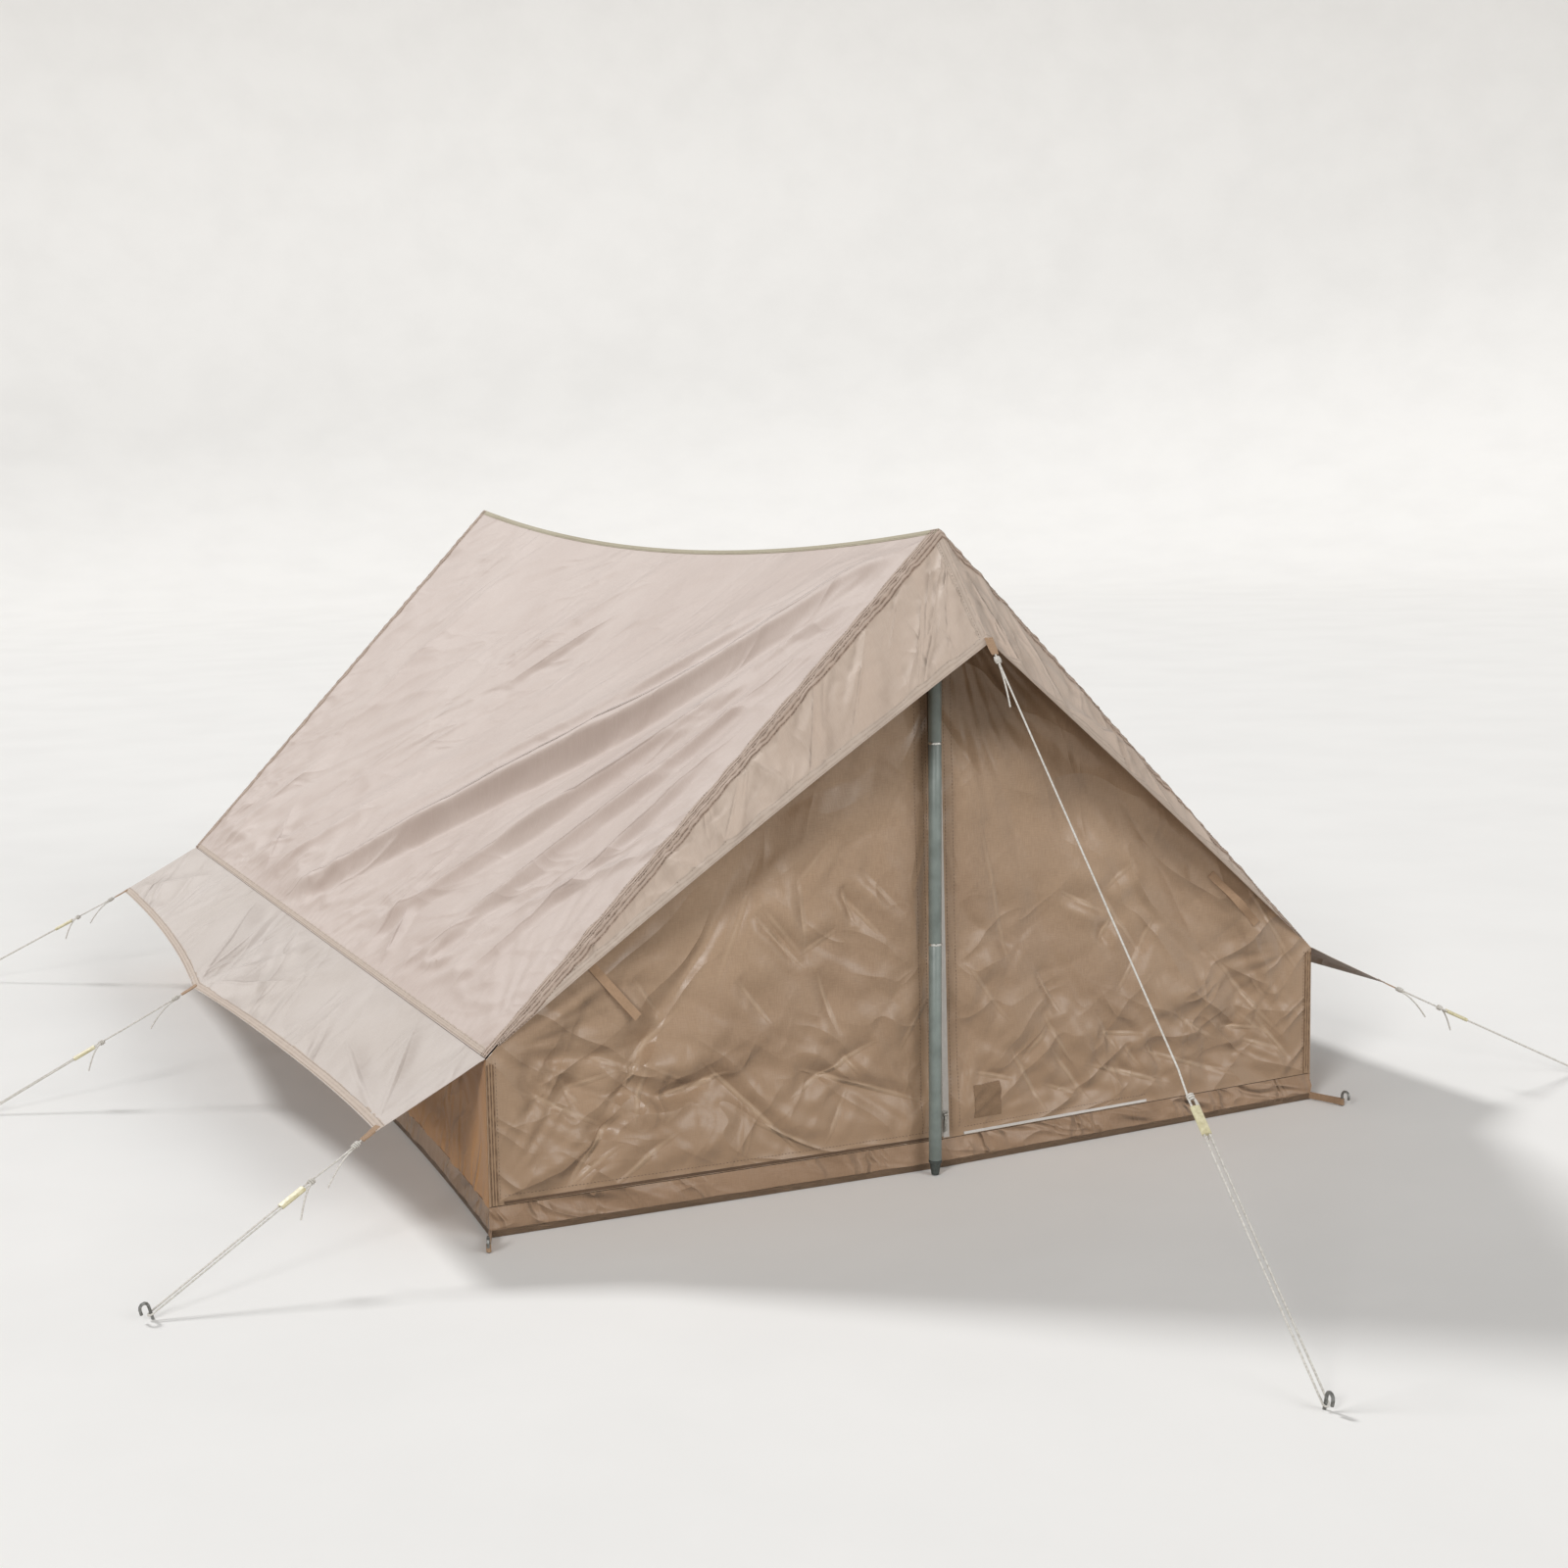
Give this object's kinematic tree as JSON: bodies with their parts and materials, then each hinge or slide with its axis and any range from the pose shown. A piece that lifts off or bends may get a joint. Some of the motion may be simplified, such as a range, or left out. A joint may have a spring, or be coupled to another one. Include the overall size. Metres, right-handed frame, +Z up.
{
  "type": "ridge tent",
  "caption": "Pitched cotton ridge tent with porch hoods, zipped door leaves that fold inwards, a tub groundsheet, upright poles, guy lines with runners, and wire pegs.",
  "frame": {"origin": "middle of the groundsheet's flat underside, on the ground", "axes": "+Y along the ridge from the front door to the rear door, +X to the right seen from the front, +Z up"},
  "size_m": [2.9168, 4.6237, 1.2555],
  "materials": {
    "roof_cloth": "plain-weave cotton, sand beige, matt",
    "wall_cloth": "plain-weave cotton, warm beige, matt",
    "groundsheet_cloth": "coated cloth, brownish pink, low sheen",
    "cotton_tape": "herringbone cotton tape, greenish beige",
    "line_cord": "braided white cord",
    "painted_tube": "blue-grey paint on steel tube, bare swaged joints",
    "zip_metal": "plated zip metal",
    "peg_wire": "galvanised steel wire",
    "runner_plastic": "cream moulded plastic"
  },
  "bodies": {
    "tent": {"front_guy_line": "line_cord", "front_hood": "roof_cloth", "front_left_gusset": "wall_cloth", "front_left_tie_back": "cotton_tape", "front_pole_bottom": "painted_tube", "front_pole_middle": "painted_tube", "front_pole_top": "painted_tube", "front_right_gusset": "wall_cloth", "front_right_tie_back": "cotton_tape", "groundsheet": "groundsheet_cloth", "left_eave_flap": "roof_cloth", "left_front_guy_line": "line_cord", "left_middle_guy_line": "line_cord", "left_rear_guy_line": "line_cord", "left_roof_panel": "roof_cloth", "left_side_wall": "wall_cloth", "rear_guy_line": "line_cord", "rear_hood": "roof_cloth", "rear_left_gusset": "wall_cloth", "rear_left_tie_back": "cotton_tape", "rear_pole_bottom": "painted_tube", "rear_pole_middle": "painted_tube", "rear_pole_top": "painted_tube", "rear_right_gusset": "wall_cloth", "rear_right_tie_back": "cotton_tape", "ridge_tape": "cotton_tape", "right_eave_flap": "roof_cloth", "right_front_guy_line": "line_cord", "right_middle_guy_line": "line_cord", "right_rear_guy_line": "line_cord", "right_roof_panel": "roof_cloth", "right_side_wall": "wall_cloth"},
    "front_left_door_leaf": {"front_left_door_leaf": "wall_cloth"},
    "front_right_door_leaf": {"front_right_door_leaf": "wall_cloth"},
    "front_zip_slider": {"front_zip_slider": "zip_metal"},
    "front_zip_pull": {"front_zip_pull": "zip_metal"},
    "rear_right_door_leaf": {"rear_right_door_leaf": "wall_cloth"},
    "rear_left_door_leaf": {"rear_left_door_leaf": "wall_cloth"},
    "rear_zip_slider": {"rear_zip_slider": "zip_metal"},
    "rear_zip_pull": {"rear_zip_pull": "zip_metal"},
    "front_runner": {"front_runner": "runner_plastic"},
    "front_peg": {"front_peg": "peg_wire"},
    "rear_runner": {"rear_runner": "runner_plastic"},
    "rear_peg": {"rear_peg": "peg_wire"},
    "left_front_runner": {"left_front_runner": "runner_plastic"},
    "left_front_peg": {"left_front_peg": "peg_wire"},
    "left_middle_runner": {"left_middle_runner": "runner_plastic"},
    "left_middle_peg": {"left_middle_peg": "peg_wire"},
    "left_rear_runner": {"left_rear_runner": "runner_plastic"},
    "left_rear_peg": {"left_rear_peg": "peg_wire"},
    "right_rear_runner": {"right_rear_runner": "runner_plastic"},
    "right_rear_peg": {"right_rear_peg": "peg_wire"},
    "right_middle_runner": {"right_middle_runner": "runner_plastic"},
    "right_middle_peg": {"right_middle_peg": "peg_wire"},
    "right_front_runner": {"right_front_runner": "runner_plastic"},
    "right_front_peg": {"right_front_peg": "peg_wire"},
    "front_left_corner_peg": {"front_left_corner_peg": "peg_wire"},
    "front_right_corner_peg": {"front_right_corner_peg": "peg_wire"},
    "rear_left_corner_peg": {"rear_left_corner_peg": "peg_wire"},
    "rear_right_corner_peg": {"rear_right_corner_peg": "peg_wire"}
  },
  "joints": [
    {"name": "front_left_door_fold", "type": "hinge", "parent": "tent", "child": "front_left_door_leaf", "pos_m": [-0.4025, -1.185, 0.53009], "axis": [0.6429, -0.016, 0.7658], "range_deg": [0, 90]},
    {"name": "front_right_door_fold", "type": "hinge", "parent": "tent", "child": "front_right_door_leaf", "pos_m": [0.4025, -1.185, 0.53009], "axis": [0.6429, 0.016, -0.7658], "range_deg": [0, 90]},
    {"name": "front_zip", "type": "slide", "parent": "front_right_door_leaf", "child": "front_zip_slider", "axis": [0, 0.0104, 0.9999], "range_m": [0, 0.87]},
    {"name": "front_zip_pull_swing", "type": "hinge", "parent": "front_zip_slider", "child": "front_zip_pull", "pos_m": [0.00615, -1.21054, 0.09436], "axis": [-1, 0, 0], "range_deg": [0, 150]},
    {"name": "rear_right_door_fold", "type": "hinge", "parent": "tent", "child": "rear_right_door_leaf", "pos_m": [0.4025, 1.185, 0.53009], "axis": [-0.6429, 0.016, 0.7658], "range_deg": [0, 90]},
    {"name": "rear_left_door_fold", "type": "hinge", "parent": "tent", "child": "rear_left_door_leaf", "pos_m": [-0.4025, 1.185, 0.53009], "axis": [-0.6429, -0.016, -0.7658], "range_deg": [0, 90]},
    {"name": "rear_zip", "type": "slide", "parent": "rear_left_door_leaf", "child": "rear_zip_slider", "axis": [0, -0.0104, 0.9999], "range_m": [0, 0.87]},
    {"name": "rear_zip_pull_swing", "type": "hinge", "parent": "rear_zip_slider", "child": "rear_zip_pull", "pos_m": [-0.00615, 1.21054, 0.09436], "axis": [1, 0, 0], "range_deg": [0, 150]},
    {"name": "front_runner_slide", "type": "slide", "parent": "tent", "child": "front_runner", "axis": [-0.0479, -0.7184, -0.694], "range_m": [0, 0.1]},
    {"name": "front_peg_pull", "type": "slide", "parent": "tent", "child": "front_peg", "axis": [-0.0172, -0.2582, 0.9659], "range_m": [0, 0.18]},
    {"name": "rear_runner_slide", "type": "slide", "parent": "tent", "child": "rear_runner", "axis": [0, 0.6814, -0.7319], "range_m": [0, 0.1]},
    {"name": "rear_peg_pull", "type": "slide", "parent": "tent", "child": "rear_peg", "axis": [0, 0.2588, 0.9659], "range_m": [0, 0.18]},
    {"name": "left_front_runner_slide", "type": "slide", "parent": "tent", "child": "left_front_runner", "axis": [-0.8592, -0.2534, -0.4446], "range_m": [0, 0.1]},
    {"name": "left_front_peg_pull", "type": "slide", "parent": "tent", "child": "left_front_peg", "axis": [-0.2482, -0.0732, 0.9659], "range_m": [0, 0.18]},
    {"name": "left_middle_runner_slide", "type": "slide", "parent": "tent", "child": "left_middle_runner", "axis": [-0.9006, 0, -0.4346], "range_m": [0, 0.1]},
    {"name": "left_middle_peg_pull", "type": "slide", "parent": "tent", "child": "left_middle_peg", "axis": [-0.2588, 0, 0.9659], "range_m": [0, 0.18]},
    {"name": "left_rear_runner_slide", "type": "slide", "parent": "tent", "child": "left_rear_runner", "axis": [-0.8592, 0.2534, -0.4446], "range_m": [0, 0.1]},
    {"name": "left_rear_peg_pull", "type": "slide", "parent": "tent", "child": "left_rear_peg", "axis": [-0.2482, 0.0732, 0.9659], "range_m": [0, 0.18]},
    {"name": "right_rear_runner_slide", "type": "slide", "parent": "tent", "child": "right_rear_runner", "axis": [0.8592, 0.2534, -0.4446], "range_m": [0, 0.1]},
    {"name": "right_rear_peg_pull", "type": "slide", "parent": "tent", "child": "right_rear_peg", "axis": [0.2482, 0.0732, 0.9659], "range_m": [0, 0.18]},
    {"name": "right_middle_runner_slide", "type": "slide", "parent": "tent", "child": "right_middle_runner", "axis": [0.9006, 0, -0.4346], "range_m": [0, 0.1]},
    {"name": "right_middle_peg_pull", "type": "slide", "parent": "tent", "child": "right_middle_peg", "axis": [0.2588, 0, 0.9659], "range_m": [0, 0.18]},
    {"name": "right_front_runner_slide", "type": "slide", "parent": "tent", "child": "right_front_runner", "axis": [0.8592, -0.2534, -0.4446], "range_m": [0, 0.1]},
    {"name": "right_front_peg_pull", "type": "slide", "parent": "tent", "child": "right_front_peg", "axis": [0.2482, -0.0732, 0.9659], "range_m": [0, 0.18]},
    {"name": "front_left_corner_peg_pull", "type": "slide", "parent": "tent", "child": "front_left_corner_peg", "axis": [0, 0, 1], "range_m": [0, 0.18]},
    {"name": "front_right_corner_peg_pull", "type": "slide", "parent": "tent", "child": "front_right_corner_peg", "axis": [0, 0, 1], "range_m": [0, 0.18]},
    {"name": "rear_left_corner_peg_pull", "type": "slide", "parent": "tent", "child": "rear_left_corner_peg", "axis": [0, 0, 1], "range_m": [0, 0.18]},
    {"name": "rear_right_corner_peg_pull", "type": "slide", "parent": "tent", "child": "rear_right_corner_peg", "axis": [0, 0, 1], "range_m": [0, 0.18]}
  ]
}
